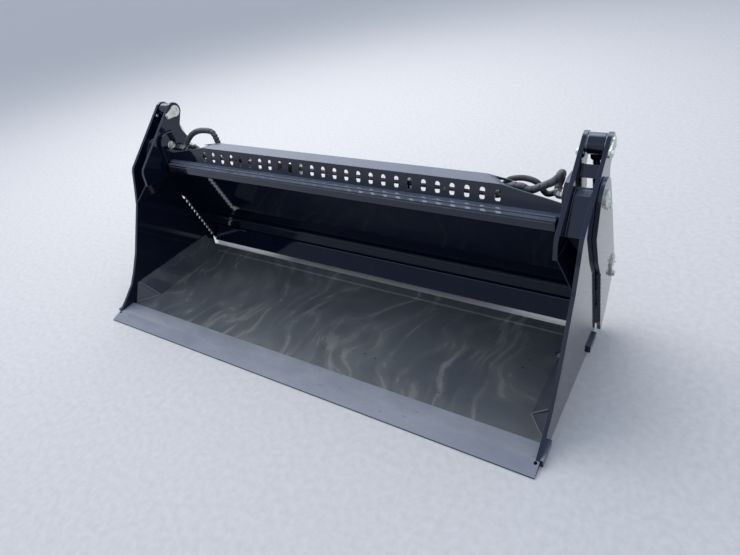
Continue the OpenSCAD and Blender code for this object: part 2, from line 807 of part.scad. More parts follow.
module rod_eye(side) color(paint) difference() {
    union() {
        in_line(side, top_pin)
            translate([0, 0, -rod_neck])
                cylinder(h = rod_neck - eye_r * 0.8, r = rod_neck_r);
        on_side(side)
            along_x(top_pin, eye_r, bay_middle - eye_width / 2, eye_width);
    }
    on_side(side)
        along_x(top_pin, pin_r + pin_clear, bay_middle - arm_gap, 2 * arm_gap);
}

module keeper_bolts() color(zinc) both_sides() {
    keeper_bolt(hinge_bolt, end_in, end_thick + flag_thick);
    keeper_bolt(base_bolt, end_in, end_thick + flag_thick);
}

nipple_r = 3;
nipple_length = 7;

module grease_nipples() color(zinc) both_sides() {
    along_x(hinge, nipple_r, end_out + flag_thick, nipple_length);
    along_x(base_pin, nipple_r, end_out + flag_thick, nipple_length);
}

clam_floor();
cutting_edge();
heel_bar();
side_plate(-1);  // side_plate_l
side_plate(1);  // side_plate_r
arm_plate(-1);  // arm_plate_l
arm_plate(1);  // arm_plate_r
arm_cover(-1);  // arm_cover_l
arm_cover(1);  // arm_cover_r
arm_web(-1);  // arm_web_l
arm_web(1);  // arm_web_r
arm_spacer(-1);  // arm_spacer_l
arm_spacer(1);  // arm_spacer_r
hinge_tube(-1);  // hinge_tube_l
hinge_tube(1);  // hinge_tube_r
corner_plate(-1);  // corner_plate_l
corner_plate(1);  // corner_plate_r
corner_cap(-1);  // corner_cap_l
corner_cap(1);  // corner_cap_r
wear_lugs();
top_pin_l();
top_pin_r();
top_keeper_bolts();
spacer_rings();
moldboard();
dozer_edge();
lip_bar();
top_guard();
ear_plate(-1);  // ear_plate_l
ear_plate(1);  // ear_plate_r
end_plate(-1);  // end_plate_l
end_plate(1);  // end_plate_r
hinge_pin(-1);  // hinge_pin_l
hinge_pin(1);  // hinge_pin_r
thrust_washers();
base_pin_part(-1);  // base_pin_l
base_pin_part(1);  // base_pin_r
base_spacers();
mount_plate();
mount_ribs();
port_block();
block_bracket();
steel_lines();
line_clamps();
ear_fittings();
hose_l();
hose_r();
wrapped_hose_l();
wrapped_hose_r();
barrel(-1);  // barrel_l
barrel(1);  // barrel_r
gland(-1);  // gland_l
gland(1);  // gland_r
rod(-1);  // rod_l
rod(1);  // rod_r
rod_eye(-1);  // rod_eye_l
rod_eye(1);  // rod_eye_r
keeper_bolts();
grease_nipples();
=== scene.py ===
# %% [markdown]
# This lesson dresses a four-in-one bucket. Its solids come packed in a frame, and the lesson gives
# them their looks: black paint with dust and a painted sheen of the sky on top, a worn floor with a
# painted reflection in it, zinc pins, rubber hoses and weld beads.
# Plates, pins and cylinders keep the shape that they have in the frame. Only the hoses are made
# anew, because their spiral wrap is finer than the solids show. All lengths are in metres, apart
# from places that are said to be in millimetres.

# %% Load the frame
import json
import math
import bmesh
import bpy
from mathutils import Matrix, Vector


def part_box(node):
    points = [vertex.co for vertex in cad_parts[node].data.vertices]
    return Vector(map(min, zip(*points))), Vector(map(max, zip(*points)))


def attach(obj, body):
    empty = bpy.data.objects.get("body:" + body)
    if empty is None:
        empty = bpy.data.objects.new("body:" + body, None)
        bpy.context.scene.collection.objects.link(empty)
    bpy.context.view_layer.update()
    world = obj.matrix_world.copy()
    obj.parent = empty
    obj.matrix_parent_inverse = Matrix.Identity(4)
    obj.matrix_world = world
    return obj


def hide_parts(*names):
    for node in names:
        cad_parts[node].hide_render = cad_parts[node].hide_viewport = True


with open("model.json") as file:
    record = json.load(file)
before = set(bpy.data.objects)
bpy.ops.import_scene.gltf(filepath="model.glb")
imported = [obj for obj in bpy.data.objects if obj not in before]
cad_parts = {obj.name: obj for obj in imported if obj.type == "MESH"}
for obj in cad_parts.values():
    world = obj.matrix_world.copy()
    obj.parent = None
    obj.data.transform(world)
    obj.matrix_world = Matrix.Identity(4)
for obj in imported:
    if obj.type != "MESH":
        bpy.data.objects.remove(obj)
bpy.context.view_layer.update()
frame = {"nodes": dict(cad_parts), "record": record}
nodes = frame["nodes"]
# The left end lies at -X and the right end at +X, as seen from in front.
ends = ((-1, "l"), (1, "r"))
# Places in millimetres are divided by this.
per_metre = 1000

# %% [markdown]
# The camera stands in front of the right end, about twice the bucket's height up. It could be
# placed by eye, but a place worked out from the long straight edges of the bucket lets every piece
# be compared with the photo. Its lens is written as a focal length for a 36 mm wide sensor.

# %% Place the camera
camera_data = bpy.data.cameras.new("camera")
camera = bpy.data.objects.new("camera", camera_data)
bpy.context.scene.collection.objects.link(camera)
camera.location = (1.19184, -1.45339, 1.37363)
camera.rotation_euler = [math.radians(a) for a in (55.0971, 8.1922, 31.3724)]
camera_data.sensor_width = 36
camera_data.lens = 27.5928
bpy.context.scene.camera = camera
print("camera at", tuple(round(c, 3) for c in camera.location))

# %% [markdown]
# Each finish is a small node tree. It could be joined by hand in the shader editor, but in code the
# same few steps come back in every finish, so helpers take them up. One adds a node and joins its
# inputs, one makes a noise, one turns a value into a mask between two limits, and one mixes two
# colours. An input named _0 or _1 is meant by its number. Patterns read Object coordinates, so they
# stay on a piece when it moves.

# %% Add and join nodes
def socket_of(sockets, name):
    return sockets[int(name[1:])] if name[0] == "_" else sockets[name.replace("_", " ")]


def add(tree, kind, **inputs):
    node = tree.nodes.new("ShaderNode" + kind)
    for name, value in inputs.items():
        socket = socket_of(node.inputs, name)
        if isinstance(value, bpy.types.NodeSocket):
            tree.links.new(value, socket)
        else:
            socket.default_value = value
    return node


def put(tree, shader, **inputs):
    """Sets the shader's own sockets; a tuple is a colour."""
    for name, value in inputs.items():
        socket = socket_of(shader.inputs, name)
        if isinstance(value, bpy.types.NodeSocket):
            tree.links.new(value, socket)
        else:
            socket.default_value = (*value, 1) if isinstance(value, tuple) else value


def finish_nodes(name):
    material = bpy.data.materials.new(name)
    material.use_nodes = True
    tree = material.node_tree
    return material, tree, tree.nodes["Principled BSDF"]


print("nodes are added with add(), and a shader is set with put()")

# %% Places, noises and masks
def place(tree):
    return add(tree, "TexCoord").outputs["Object"]


def stretched(tree, scale, turn=(0, 0, 0)):
    node = add(tree, "Mapping", Vector=place(tree))
    node.inputs["Scale"].default_value = scale
    node.inputs["Rotation"].default_value = turn
    return node.outputs[0]


def noise(tree, scale, detail=4.0, where=None, rough=0.55):
    node = add(tree, "TexNoise", Scale=scale, Detail=detail, Roughness=rough,
        Vector=where or place(tree))
    return node.outputs["Fac"]


def mask(tree, value, low, high):
    node = add(tree, "MapRange", Value=value, From_Min=low, From_Max=high)
    node.clamp = True
    return node.outputs["Result"]


def maths(tree, operation, a, b=0.0):
    node = add(tree, "Math", _0=a, _1=b)
    node.operation = operation
    return node.outputs[0]


def times(tree, a, b):
    return maths(tree, "MULTIPLY", a, b)


def plus(tree, a, b):
    return maths(tree, "ADD", a, b)


def mixed(tree, amount, a, b):
    """The colour a where amount is 0, and b where it is 1."""
    node = tree.nodes.new("ShaderNodeMix")
    node.data_type = "RGBA"
    # A Mix node also has sockets for numbers and vectors. These are its share and its two colours.
    amount_socket, a_socket, b_socket = (node.inputs[i] for i in (0, 6, 7))
    for socket, value in ((amount_socket, amount), (a_socket, a), (b_socket, b)):
        if isinstance(value, bpy.types.NodeSocket):
            tree.links.new(value, socket)
        else:
            socket.default_value = value if socket.type == "VALUE" else (*value, 1)[:4]
    return node.outputs[2]


print("patterns read Object coordinates")

# %% [markdown]
# Two masks come from the shape itself. Dust lies on what looks up, and a painted sheen of the sky
# is laid there too, so one mask follows the normal in the piece's own frame: dust and sheen then
# stay put when the clam opens. Paint rubs off at corners, so the other mask is white where a
# rounded normal leaves the true one. Corners could be painted by hand, but this finds them on all
# pieces at once.

# %% Masks from the shape
def upward(tree):
    turned = add(tree, "VectorTransform", Vector=add(tree, "NewGeometry").outputs["Normal"])
    turned.vector_type = "NORMAL"
    turned.convert_from = "WORLD"
    turned.convert_to = "OBJECT"
    return add(tree, "SeparateXYZ", Vector=turned.outputs[0]).outputs["Z"]


def edge_mask(tree, radius):
    """The mask, and the rounded normal for a bump to start from."""
    rounded = add(tree, "Bevel", Radius=radius)
    rounded.samples = 4
    both = add(tree, "VectorMath", _0=rounded.outputs[0],
        _1=add(tree, "NewGeometry").outputs["Normal"])
    both.operation = "DOT_PRODUCT"
    return mask(tree, both.outputs["Value"], 0.995, 0.9), rounded.outputs[0]


print("masks: upward and edge_mask")

# %% [markdown]
# A cloudy sky is a pale world, bluer overhead than at the horizon. One large soft lamp overhead
# adds a direction, so that top faces are lighter than sides and the floor keeps a soft shadow. A
# sky texture could do it too, but glossy black paint only needs two colours, blended by height, to
# mirror. The Standard view shows each colour about as it is written.

# %% Light the scene
world = bpy.data.worlds.new("sky")
bpy.context.scene.world = world
world.use_nodes = True
sky = world.node_tree
background = sky.nodes["Background"]
horizon, overhead = (0.88, 0.90, 0.95), (0.62, 0.76, 1.0)
height = add(sky, "SeparateXYZ", Vector=add(sky, "TexCoord").outputs["Generated"]).outputs["Z"]
sky.links.new(mixed(sky, height, horizon, overhead), background.inputs["Color"])
background.inputs["Strength"].default_value = 0.8

lamp_data = bpy.data.lights.new("soft_lamp", "AREA")
lamp_data.shape = "RECTANGLE"
lamp_data.size = 5
lamp_data.size_y = 4
lamp_data.energy = 150
lamp = bpy.data.objects.new("soft_lamp", lamp_data)
lamp.location = (-1.6, 1.6, 3.6)
lit_spot = Vector((0, 0, 0.3))
lamp.rotation_euler = (lit_spot - lamp.location).to_track_quat("-Z", "Y").to_euler()
bpy.context.scene.collection.objects.link(lamp)
bpy.context.scene.view_settings.view_transform = "Standard"
print("lamp energy", lamp_data.energy)

# %% [markdown]
# The plates are sprayed black. On the real ones the paint has a slight orange peel, pale dust lies
# on whatever looks up, and the corners are rubbed to a lighter grey. The pale blue grey on faces
# that look up is also a painted sheen of the sky. Dust could be modelled as a second skin, but a
# mask on the paint's colour is enough at this size. The same paint, with another base and gloss,
# serves for the welds and for the dozer edge along the moldboard's foot.

# %% Black paint
sky_tint, speck, rubbed = (0.72, 0.80, 1.0), (0.30, 0.29, 0.27), (0.15, 0.17, 0.20)


# The black base has a blue cast that is a painted reflection of the blue sky.
def black_paint(name, base=(0.0016, 0.0040, 0.0150), dust_and_sheen=(0.125, 0.150, 0.205), dust_and_sheen_weight=0.85,
        roughness=0.05, smears=0.05, film=(0.055, 0.052, 0.05), gloss=0.5, coat=0.35):
    material, tree, shader = finish_nodes(name)
    patches = mask(tree, noise(tree, 5.5, 6, rough=0.65), 0.32, 0.72)
    grit = mask(tree, noise(tree, 160, 3), 0.45, 0.8)
    # Faces that look up get dust and a painted sheen of the sky, both in one pale blue grey.
    look_up = mask(tree, upward(tree), 0.8, 0.995)
    dust_and_sheen_share = times(tree, look_up, dust_and_sheen_weight)
    dust_and_sheen_share = times(tree, dust_and_sheen_share, plus(tree, times(tree, patches, 0.4), 0.6))
    streaks = mask(tree, noise(tree, 9, 6, stretched(tree, (1.2, 1.2, 0.16)), 0.72), 0.46, 0.86)
    smear = times(tree, streaks, smears)
    edge, rounded = edge_mask(tree, 0.0014)
    worn = times(tree, edge, mask(tree, noise(tree, 38, 5), 0.25, 0.6))
    colour = mixed(tree, smear, base, film)
    colour = mixed(tree, dust_and_sheen_share, colour, dust_and_sheen)
    colour = mixed(tree, times(tree, grit, 0.02), colour, speck)
    colour = mixed(tree, times(tree, worn, 0.5), colour, rubbed)
    shine = plus(tree, roughness, times(tree, dust_and_sheen_share, 0.35))
    shine = plus(tree, shine, times(tree, patches, 0.035))
    peel = add(tree, "Bump", Strength=0.03, Distance=0.0005, Height=noise(tree, 90, 2),
        Normal=rounded)
    put(tree, shader, Base_Color=colour, Roughness=shine, Normal=peel.outputs[0],
        Specular_IOR_Level=gloss, Specular_Tint=sky_tint, Coat_Weight=coat,
        Coat_Roughness=0.04)
    return material


paint = black_paint("black_paint")
weld_paint = black_paint("weld_paint", (0.006, 0.009, 0.018), dust_and_sheen_weight=0.5, roughness=0.16)
bare_weld = black_paint("bare_weld", (0.15, 0.155, 0.165), dust_and_sheen_weight=0.3, roughness=0.3)
dozer_paint = black_paint("dozer_paint", gloss=0.25, coat=0.0)
rubbed_weld = black_paint("rubbed_weld", (0.05, 0.055, 0.062), dust_and_sheen_weight=0.6, roughness=0.22)
print("paints:", paint.name, dozer_paint.name)
print("welds:", weld_paint.name, bare_weld.name, rubbed_weld.name)

# %% [markdown]
# The floor has carried earth: its paint is scoured to a greenish grey, with a few dark scratches.
# Pale wisps that sweep from front to back are a painted reflection of the sky in its gloss. A plain
# noise gives clouds, not wisps. So the places are first pushed about by a second noise and
# stretched along the sweep, and the noise is a ridged one, which draws crests. The earth ground
# into the paint fades towards the right end.

# %% Worn floor
scratch = (0.010, 0.011, 0.014)
sweep_turn, sweep_scale = (0, 0, 0.75), (2.6, 1.0, 1.0)
right_end, left_of_middle = 0.95, -0.2


def wispy(tree, where):
    wisps = add(tree, "TexNoise", Scale=4.2, Detail=7.0, Roughness=0.6, Vector=where)
    wisps.noise_type = "RIDGED_MULTIFRACTAL"
    wisps.inputs["Offset"].default_value = 0.9
    wisps.inputs["Gain"].default_value = 1.5
    return mask(tree, wisps.outputs[0], 0.6, 2.1)


def worn_floor(name, dark=(0.080, 0.088, 0.100), pale=(0.165, 0.175, 0.175),
        swirl_reflection=(0.34, 0.34, 0.30), strength=0.85):
    material, tree, shader = finish_nodes(name)
    bend = add(tree, "TexNoise", Scale=1.9, Detail=2.0, Vector=place(tree))
    pushed = add(tree, "VectorMath", _0=bend.outputs["Color"], _1=(0.55, 0.40, 0.0))
    pushed.operation = "MULTIPLY"
    moved = add(tree, "VectorMath", _0=place(tree), _1=pushed.outputs[0]).outputs[0]
    mapped = add(tree, "Mapping", Vector=moved)
    mapped.inputs["Rotation"].default_value = sweep_turn
    mapped.inputs["Scale"].default_value = sweep_scale
    brushed = mapped.outputs[0]
    cloud = mask(tree, noise(tree, 2.6, 6, moved, 0.6), 0.36, 0.70)
    wisp = wispy(tree, brushed)
    broad = mask(tree, noise(tree, 2.2, 3, brushed, 0.5), 0.38, 0.66)
    fine = mask(tree, noise(tree, 13, 6, brushed, 0.7), 0.36, 0.66)
    # The swirls are a painted reflection of the sky, laid on in the swirl colour.
    painted_swirl = times(tree, times(tree, wisp, broad), plus(tree, times(tree, fine, 0.7), 0.3))
    along = add(tree, "SeparateXYZ", Vector=place(tree)).outputs["X"]
    across = mask(tree, along, right_end, left_of_middle)
    scuffs = noise(tree, 30, 6, stretched(tree, (1, 3.0, 1), (0, 0, 0.9)), 0.6)
    scuff = times(tree, mask(tree, scuffs, 0.66, 0.69), mask(tree, noise(tree, 2.2, 2), 0.52, 0.60))
    # The pale share is partly earth ground into the paint and partly painted reflection, through
    # the wisps.
    ground_in_and_sheen = times(tree, plus(tree, times(tree, cloud, 0.6), times(tree, wisp, 0.3)),
        plus(tree, times(tree, across, 0.6), 0.4))
    colour = mixed(tree, ground_in_and_sheen, dark, pale)
    colour = mixed(tree, times(tree, painted_swirl, strength), colour, swirl_reflection)
    colour = mixed(tree, times(tree, scuff, 0.85), colour, scratch)
    shine = plus(tree, 0.22, times(tree, painted_swirl, 0.35))
    skin = add(tree, "Bump", Strength=0.05, Distance=0.0006, Height=noise(tree, 60, 5))
    put(tree, shader, Base_Color=colour, Roughness=shine, Normal=skin.outputs[0])
    return material


floor_finish = worn_floor("worn_floor")
# The corners get darker colours and a fainter painted reflection of the sky.
corner_finish = worn_floor("darker_corners", (0.045, 0.054, 0.074), (0.085, 0.095, 0.104),
    strength=0.35)
print("finishes:", floor_finish.name, corner_finish.name)

# %% [markdown]
# The cutting edge is still mostly painted. It lies flat under the sky, so its upward faces are
# painted blue grey as a painted reflection of the sky, with a paler painted sheen in a stripe at
# the front of its bevel, and small dark nicks. The stripe could be a piece of its own. A mask along
# the depth, with a noise on its border, gives the sheen a ragged edge.

# %% Cutting edge finish
edge_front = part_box("cutting_edge")[0][1]
stripe_front, stripe_back = edge_front + 0.007, edge_front + 0.062
nick, steel_corner = (0.05, 0.05, 0.055), (0.34, 0.35, 0.36)


def edge_finish(name):
    material, tree, shader = finish_nodes(name)
    where = add(tree, "SeparateXYZ", Vector=place(tree))
    ragged = plus(tree, where.outputs["Y"], times(tree, noise(tree, 12, 4), 0.03))
    # A paler painted sheen along the front of the bevel, with a ragged border.
    front_sheen = mask(tree, ragged, stripe_back, stripe_front)
    patches = mask(tree, noise(tree, 6, 6, stretched(tree, (1, 2.2, 1)), 0.65), 0.35, 0.7)
    look_up = mask(tree, upward(tree), 0.3, 0.9)
    colour = mixed(tree, patches, (0.17, 0.185, 0.225), (0.235, 0.25, 0.29))
    colour = mixed(tree, times(tree, front_sheen, 0.5), colour, (0.27, 0.285, 0.33))
    nicks = mask(tree, noise(tree, 30, 6, stretched(tree, (1, 4, 1), (0, 0, 0.6))), 0.66, 0.72)
    colour = mixed(tree, times(tree, nicks, 0.6), colour, nick)
    # Only upward faces get the blue grey, a painted reflection of the sky; the rest stays dark
    # paint.
    colour = mixed(tree, look_up, (0.02, 0.022, 0.026), colour)
    edge, rounded = edge_mask(tree, 0.0015)
    colour = mixed(tree, times(tree, edge, 0.35), colour, steel_corner)
    skin = add(tree, "Bump", Strength=0.1, Distance=0.0006, Height=noise(tree, 140, 4),
        Normal=rounded)
    put(tree, shader, Base_Color=colour, Roughness=0.38, Normal=skin.outputs[0])
    return material


cutting_finish = edge_finish("edge_paint")
print("finish:", cutting_finish.name)

# %% [markdown]
# Pins, flags and bolts are zinc plated with a faint yellow. Rings and lines are bare steel, the
# rods are chromed, and the hoses are black rubber that is lighter on faces that look up. Each could
# have a recipe of its own, but one serves for all metals: a tone that drifts between two colours,
# grime in patches, and a fine grain.

# %% Metals and rubber
def metal(name, low, high, roughness, grime=0.5):
    material, tree, shader = finish_nodes(name)
    tone = mask(tree, noise(tree, 60, 5), 0.3, 0.7)
    dirt = mask(tree, noise(tree, 24, 6, rough=0.7), 0.55, 0.8)
    rounded = add(tree, "Bevel", Radius=0.001)
    rounded.samples = 4
    colour = mixed(tree, tone, low, high)
    colour = mixed(tree, times(tree, dirt, grime), colour, (0.16, 0.15, 0.13))
    shine = plus(tree, roughness, times(tree, dirt, 0.25))
    skin = add(tree, "Bump", Strength=0.08, Distance=0.0003, Height=noise(tree, 220, 3),
        Normal=rounded.outputs[0])
    put(tree, shader, Base_Color=colour, Metallic=1.0, Roughness=shine, Normal=skin.outputs[0])
    return material


def rubber(name, tone=(0.018, 0.018, 0.019), upward_tone=(0.11, 0.112, 0.115)):
    material, tree, shader = finish_nodes(name)
    dull = mask(tree, noise(tree, 30, 5), 0.35, 0.75)
    top = mask(tree, upward(tree), 0.0, 0.95)
    # Faces that look up are made lighter, in patches.
    upward_share = times(tree, top, plus(tree, times(tree, dull, 0.5), 0.35))
    colour = mixed(tree, upward_share, tone, upward_tone)
    skin = add(tree, "Bump", Strength=0.2, Distance=0.0004, Height=noise(tree, 500, 3))
    put(tree, shader, Base_Color=colour, Roughness=0.55, Normal=skin.outputs[0])
    return material


zinc = metal("zinc", (0.62, 0.64, 0.56), (0.82, 0.84, 0.78), 0.3)
bare_steel = metal("bare_steel", (0.30, 0.31, 0.33), (0.46, 0.47, 0.49), 0.38)
chrome = metal("chrome", (0.80, 0.81, 0.83), (0.88, 0.89, 0.9), 0.12, grime=0.15)
hose_rubber = rubber("hose_rubber")
wrap_plastic = rubber("spiral_wrap", (0.045, 0.049, 0.058), (0.20, 0.215, 0.245))
print("metals:", zinc.name, bare_steel.name, chrome.name)
print("rubbers:", hose_rubber.name, wrap_plastic.name)

# %% [markdown]
# The frame says for each solid what it is made of. Finishes could be given out one by one, but by
# that list a plate that is added later gets its paint too. Two kinds of piece differ from it: the
# sloped corners are darker than the floor, with a fainter painted reflection, and the dozer edge
# mirrors less of the sky.

# %% Give each solid its finish
finish_of = {"black_paint": paint, "worn_floor": floor_finish, "edge_steel": cutting_finish,
    "zinc": zinc, "steel": bare_steel, "chrome": chrome, "rubber": hose_rubber}
for part in frame["record"]["subparts"]:
    solid = nodes[part["node"]]
    solid.data.materials.clear()
    finish = finish_of[part["material_slot"]]
    if part["node"].startswith("corner"):
        finish = corner_finish
    if part["node"] == "dozer_edge":
        finish = dozer_paint
    solid.data.materials.append(finish)

# %% [markdown]
# A hose could be a curve with a round bevel, but a bevel can't have a spiral wrap. So a hose is a
# flat grid rolled round its route. Rolling a grid keeps the faces even and lets the radius change
# along the way, which gives the wrap its bands. The route is a smooth curve through a few places,
# cut into even steps, with its sharpest turns eased.

# %% A route for a tube
def route(points, steps=10):
    """A smooth line through the points, which are in millimetres."""
    p = [Vector(q) / per_metre for q in points]
    line = []
    for i in range(len(p) - 1):
        a, b, c, d = p[max(i - 1, 0)], p[i], p[i + 1], p[min(i + 2, len(p) - 1)]
        for k in range(steps):
            t = k / steps
            line.append(0.5 * (2 * b + (c - a) * t + (2 * a - 5 * b + 4 * c - d) * t * t
                + (3 * b - a - 3 * c + d) * t ** 3))
    line.append(p[-1])
    return line


def evened(line, gap):
    """The same line as even places, about this gap apart."""
    lengths = [0.0]
    for a, b in zip(line, line[1:]):
        lengths.append(lengths[-1] + (b - a).length)
    count = max(2, round(lengths[-1] / gap))
    places, j = [], 0
    for i in range(count + 1):
        goal = lengths[-1] * i / count
        while j < len(lengths) - 2 and lengths[j + 1] < goal:
            j += 1
        span = lengths[j + 1] - lengths[j]
        places.append(line[j].lerp(line[j + 1], (goal - lengths[j]) / span))
    return places


def eased(places, rounds=14):
    """The same places with the sharpest turns eased, as rubber would, and their length."""
    for _ in range(rounds):
        middle = [(a + 2 * b + c) / 4 for a, b, c in zip(places, places[1:], places[2:])]
        places = [places[0]] + middle + [places[-1]]
    return places, sum((b - a).length for a, b in zip(places, places[1:]))


print("a route is smoothed, evened and eased")

# %% A tube along a route
same_spot = 1e-6


def settle(name, mesh, finish, body="moldboard_frame"):
    """Makes an object of the mesh, which rides on a body."""
    data = bpy.data.meshes.new(name)
    mesh.to_mesh(data)
    mesh.free()
    data.materials.append(finish)
    for face in data.polygons:
        face.use_smooth = True
    piece = bpy.data.objects.new(name, data)
    bpy.context.scene.collection.objects.link(piece)
    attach(piece, body)
    return piece


def tube(name, places, radius, sides, finish, groove=None, body="moldboard_frame"):
    """A closed tube. radius and groove take the length along it and the angle round it, and the
    second finish goes where groove says so."""
    count = len(places)
    forward = [(places[min(i + 1, count - 1)] - places[max(i - 1, 0)]).normalized()
        for i in range(count)]
    side = forward[0].orthogonal().normalized()
    across, walked = [], [0.0]
    for i, ahead in enumerate(forward):
        side = (side - ahead * side.dot(ahead)).normalized()
        across.append((side.copy(), ahead.cross(side)))
        if i:
            walked.append(walked[-1] + (places[i] - places[i - 1]).length)
    # The grid reaches from -0.5 to 0.5. Its x runs along the route and its y goes round it.
    mesh = bmesh.new()
    bmesh.ops.create_grid(mesh, x_segments=count - 1, y_segments=sides, size=0.5)

    def spot(co):
        return min(count - 1, round((co.x + 0.5) * (count - 1))), (co.y + 0.5) * 2 * math.pi

    if groove:
        for face in mesh.faces:
            i, angle = spot(face.calc_center_median())
            face.material_index = 1 if groove(walked[i], angle) else 0
    for v in mesh.verts:
        i, angle = spot(v.co)
        u, w = across[i]
        v.co = places[i] + (u * math.cos(angle) + w * math.sin(angle)) * radius(walked[i], angle)
    bmesh.ops.remove_doubles(mesh, verts=mesh.verts, dist=same_spot)
    bmesh.ops.holes_fill(mesh, edges=[e for e in mesh.edges if e.is_boundary], sides=0)
    bmesh.ops.recalc_face_normals(mesh, faces=mesh.faces)
    return settle(name, mesh, finish, body)


print("a tube is a grid rolled round a route")

# %% [markdown]
# At each end two short hoses join the steel lines behind the guard to the fittings in the ear. One
# is plain rubber and one wears a spiral wrap against chafing, wound closer at the left end than at
# the right. The routes are those of the solids that these hoses replace, in millimetres: inboard
# from the ear, rearward from the hinge, and up from the hinge.

# %% Routes of the four hoses
pivots = {joint["name"]: joint["pos_m"] for joint in frame["record"]["behaviour"]["joints"]}
ear_in = round(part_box("ear_plate_r")[0][0] * per_metre, 1)
hinge_up = pivots["clam_hinge"][2] * per_metre
hose_routes = {
    "hose_l": (-1, [(221.7, 30, -49), (200, 30, -49), (150, 36, -50), (100, 58, -44),
        (62, 74, -37), (32.3, 76, -36), (24.3, 76, -36)]),
    "hose_r": (1, [(251.7, 62, -67), (238, 62, -66), (214, 61, -44), (190, 60, -12),
        (153, 60, 0), (122, 61, -2), (99, 62, -12), (84, 63, -34), (70, 64, -46), (50, 71, -40),
        (32.3, 76, -36), (24.3, 76, -36)]),
    "wrapped_hose_l": (-1, [(251.7, 62, -67), (238, 62, -60), (222, 62, -10), (214, 62, 28),
        (196, 64, 48), (128, 65, 46), (78, 62, 28), (50, 52, 2), (36, 40, -20),
        (30.3, 34, -26), (24.3, 34, -26)]),
    "wrapped_hose_r": (1, [(221.7, 30, -49), (206, 31, -46), (185, 34, -22), (146, 38, -16),
        (115, 38, -25), (86, 38, -11), (64, 40, 0), (42, 42, 15), (33, 52, 28), (33, 70, 26),
        (36, 80, 8), (40, 66, -14), (36, 44, -25), (30.3, 34, -26), (24.3, 34, -26)]),
}


def from_ear(side, spots):
    return [(side * (ear_in - x), y, hinge_up + z) for x, y, z in spots]


print("routes:", ", ".join(hose_routes))
print("ear plate at", ear_in, "and hinge at", hinge_up)

# %% Make the four hoses
hose_step = 0.0022
plain_across, wrapped_across = 0.018, 0.0228
groove_radius, wrap_radius, wrap_crown = 0.0095, 0.0113, 0.0005
# Each wrap has a pitch, and a share of the pitch that is groove.
wraps = {"wrapped_hose_l": (0.0135, 0.34), "wrapped_hose_r": (0.027, 0.13)}


def spiral(pitch, gap):
    """The radius and the groove of a wrap, as functions of a place on the hose."""
    def turned(s, angle):
        return (s / pitch + angle / (2 * math.pi)) % 1.0

    def in_groove(s, angle):
        return turned(s, angle) < gap

    def radius(s, angle):
        if in_groove(s, angle):
            return groove_radius
        over = (turned(s, angle) - gap) / (1 - gap)
        return wrap_radius + wrap_crown * math.sin(over * math.pi)

    return radius, in_groove


def plain_radius(s, angle):
    return plain_across / 2


hoses = {}
for name, (side, spots) in hose_routes.items():
    places, length = eased(evened(route(from_ear(side, spots)), hose_step))
    if name in wraps:
        spiral_radius, in_groove = spiral(*wraps[name])
        piece = tube("spiral_" + name, places, spiral_radius, 40, wrap_plastic, in_groove)
        piece.data.materials.append(hose_rubber)
    else:
        piece = tube("rubber_" + name, places, plain_radius, 24, hose_rubber)
    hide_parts(name)
    hoses[name] = (piece, places, length, wrapped_across if name in wraps else plain_across)
    print(name, "length", round(length, 3))

# %% [markdown]
# Each hose ends in a pressed steel sleeve. The sleeve is a short tube round the hose with rings
# pressed into it. The same rolled grid serves again, with a radius that steps in at each ring.

# %% Press the sleeves on
sleeve_step, sleeve_places = 0.0015, 17
sleeve_outer, ring_depth, ring_pitch, ring_share = 0.0118, 0.0006, 0.007, 0.35


def sleeve_radius(s, angle):
    pressed = (s / ring_pitch) % 1.0 < ring_share
    return sleeve_outer - (ring_depth if pressed else 0.0)


sleeves = {name: [] for name in hoses}
for name, (side, spots) in hose_routes.items():
    for which, tail in (("in", spots[:3]), ("out", spots[-4:][::-1])):
        places = evened(route(from_ear(side, tail)), sleeve_step)[:sleeve_places]
        piece = tube("sleeve_" + name + "_" + which, places, sleeve_radius, 24, bare_steel)
        sleeves[name].append(piece)
print("sleeves on", len(hose_routes), "hoses")

# %% [markdown]
# A hose is a fixed length of something that bends; it is stiff, and its far end goes back into the
# object. Here the hoses made above are only counted.

print("declared", len(hoses), "hoses")

# %% [markdown]
# Plates meet at welds, laid by hand as beads with a ripple for each weave of the rod. They could be
# a bump along the joint, but a real bead stands proud and catches the light. So a bead is a thin
# tube along the joint whose radius swells and falls every few millimetres.

# %% A weld bead
bead_step = 0.0025
# A weave is the length of one ripple. The drift is a slower swell, in radians to the metre.
weave, weave_swell = 0.0062, 0.14
drift, drift_swell = 61, 0.08
laid = []


def bead(name, points, thickness, body, finish):
    """A bead along straight lines through the points. All its sizes are in millimetres."""
    radius = thickness / 2 / per_metre
    corners = [Vector(q) / per_metre for q in points]
    places = []
    for a, b in zip(corners, corners[1:]):
        steps = max(2, round((b - a).length / bead_step))
        places += [a.lerp(b, k / steps) for k in range(steps)]
    places.append(corners[-1])

    def rippled(s, angle):
        return radius * (1 + weave_swell * math.sin(s / weave * 2 * math.pi)
            + drift_swell * math.sin(s * drift))

    laid.append(tube(name, places, rippled, 8, finish, body=body))


print("weave of a bead:", weave)

# %% Lay the weld beads
arm_front = [(-111, 520), (-43, 612), (-17, 615)]
